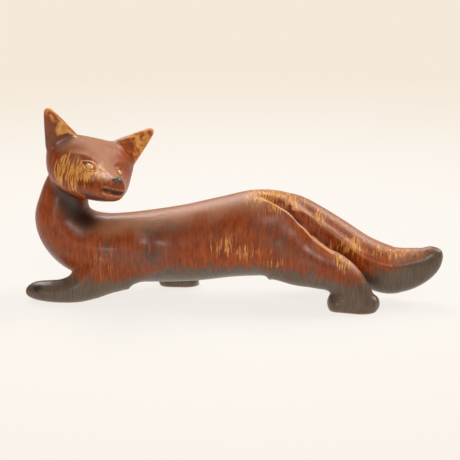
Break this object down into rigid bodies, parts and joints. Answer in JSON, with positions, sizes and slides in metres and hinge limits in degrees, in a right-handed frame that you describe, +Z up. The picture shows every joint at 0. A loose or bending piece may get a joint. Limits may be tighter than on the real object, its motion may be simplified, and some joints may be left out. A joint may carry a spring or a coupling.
{
  "type": "animal figurine",
  "caption": "Glazed stoneware fox figurine in a low stalking pose, long trunk and tail, head turned back over its left shoulder, standing on flat unglazed soles",
  "frame": {"origin": "centre of the figurine's bounding box at ground level, under the belly", "axes": "the fox walks towards -X, its left side, the side seen in the picture, faces -Y, and +Z is up"},
  "size_m": [0.3189, 0.0966, 0.1521],
  "materials": {
    "body_glaze": "satin rust-brown stoneware glaze with fine vertical streaks, grey-olive low down, ochre where it ran",
    "ear_glaze": "the same glaze, thinner and ochre along the rims",
    "eye_glaze": "yellow ochre, glossier bead of glaze",
    "nose_glaze": "dark grey-brown glaze, satin"
  },
  "bodies": {
    "root": {"torso": "body_glaze", "head": "body_glaze", "ear_left": "ear_glaze", "ear_right": "ear_glaze", "eye_left": "eye_glaze", "eye_right": "eye_glaze", "nose": "nose_glaze", "foreleg_left": "body_glaze", "foreleg_right": "body_glaze", "hind_leg_left": "body_glaze", "hind_leg_right": "body_glaze", "tail": "body_glaze"}
  },
  "joints": []
}
